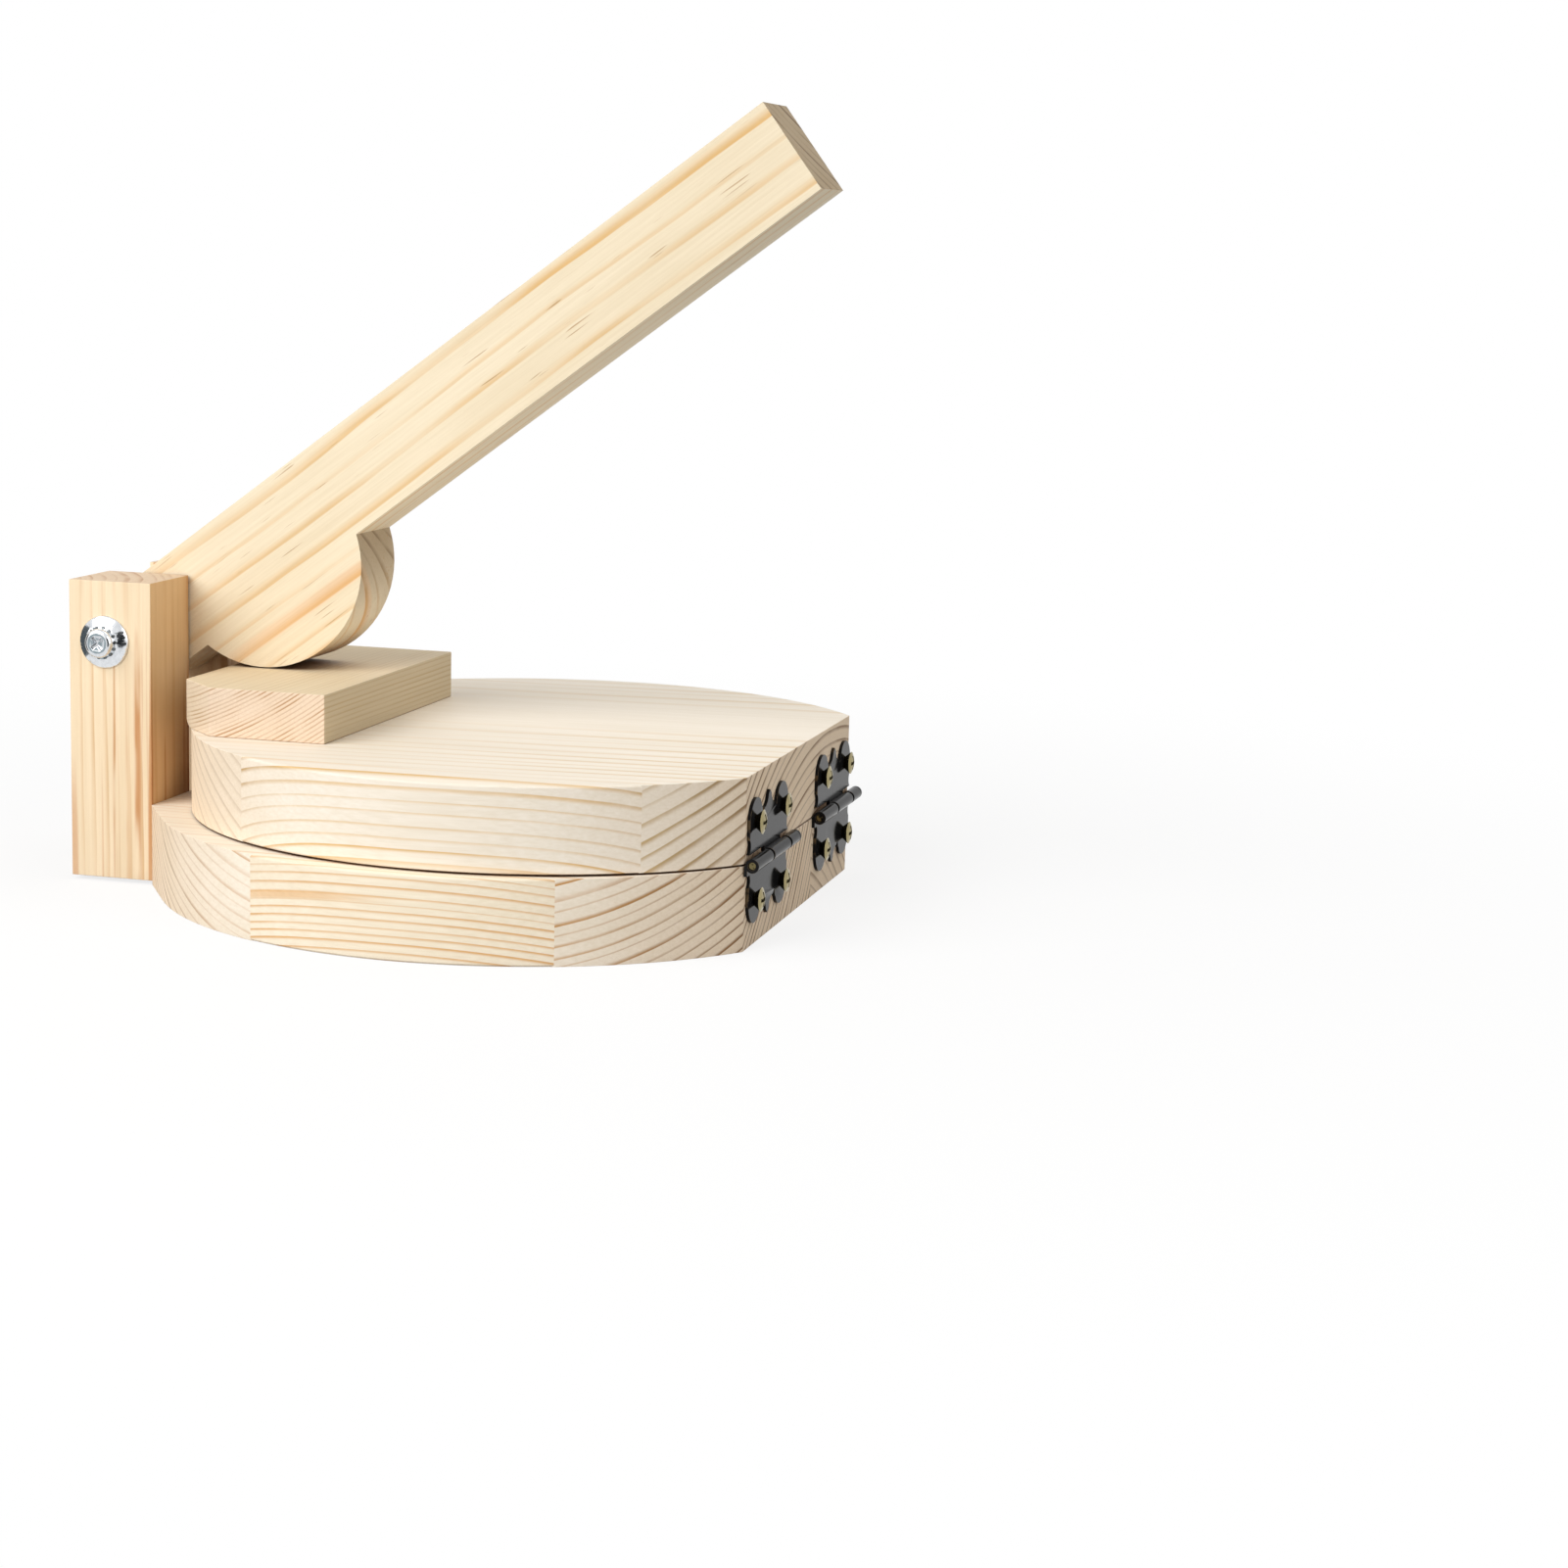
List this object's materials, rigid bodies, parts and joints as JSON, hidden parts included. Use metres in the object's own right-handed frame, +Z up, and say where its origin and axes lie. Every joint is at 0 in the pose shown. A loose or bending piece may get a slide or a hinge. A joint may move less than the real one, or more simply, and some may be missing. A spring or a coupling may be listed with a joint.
{
  "type": "tortilla press",
  "caption": "Round wooden tortilla press: two hinged boards, a cam lever on a bolt between two posts, and a press bar under the cam.",
  "frame": {"origin": "middle of the round lower board, on its underside, which rests on the table", "axes": "+X from the posts to the hinges, +Y across the press to its far side, +Z up"},
  "size_m": [0.1835, 0.176, 0.1921],
  "materials": {
    "board_pine": "bare sanded cream pine with glue lines",
    "post_pine": "bare sanded pine with orange-brown streaks",
    "lever_pine": "bare sanded pine with resin flecks along the grain",
    "bar_pine": "bare sanded pine",
    "zinc": "bright zinc plate",
    "black_iron": "antique black, worn to bare metal on the edges",
    "brass": "dull brass plate"
  },
  "bodies": {
    "base": {"lower_stave_near": "board_pine", "lower_stave_middle": "board_pine", "lower_stave_far": "board_pine", "near_post": "post_pine", "far_post": "post_pine", "post_screws": "zinc", "pivot_bolt": "zinc", "near_cup_washer": "zinc", "far_cup_washer": "zinc", "lock_nut": "zinc", "near_hinge_lower_leaf": "black_iron", "near_hinge_pin": "black_iron", "near_hinge_lower_screws": "brass", "far_hinge_lower_leaf": "black_iron", "far_hinge_pin": "black_iron", "far_hinge_lower_screws": "brass"},
    "upper_plate": {"upper_stave_near": "board_pine", "upper_stave_middle": "board_pine", "upper_stave_far": "board_pine", "press_bar": "bar_pine", "bar_screws": "zinc", "near_hinge_upper_leaf": "black_iron", "near_hinge_upper_screws": "brass", "far_hinge_upper_leaf": "black_iron", "far_hinge_upper_screws": "brass"},
    "lever": {"lever": "lever_pine"}
  },
  "joints": [
    {"name": "lever_pivot", "type": "hinge", "parent": "base", "child": "lever", "pos_m": [-0.0958, 0, 0.05964], "axis": [0, -1, 0], "range_deg": [0, 155]},
    {"name": "plate_hinge", "type": "hinge", "parent": "base", "child": "upper_plate", "pos_m": [0.0739, 0, 0.02025], "axis": [0, 1, 0], "range_deg": [0, 30]}
  ],
  "couplings": [
    {"joint": "plate_hinge", "follows": "lever_pivot", "ratio": 0.19}
  ]
}
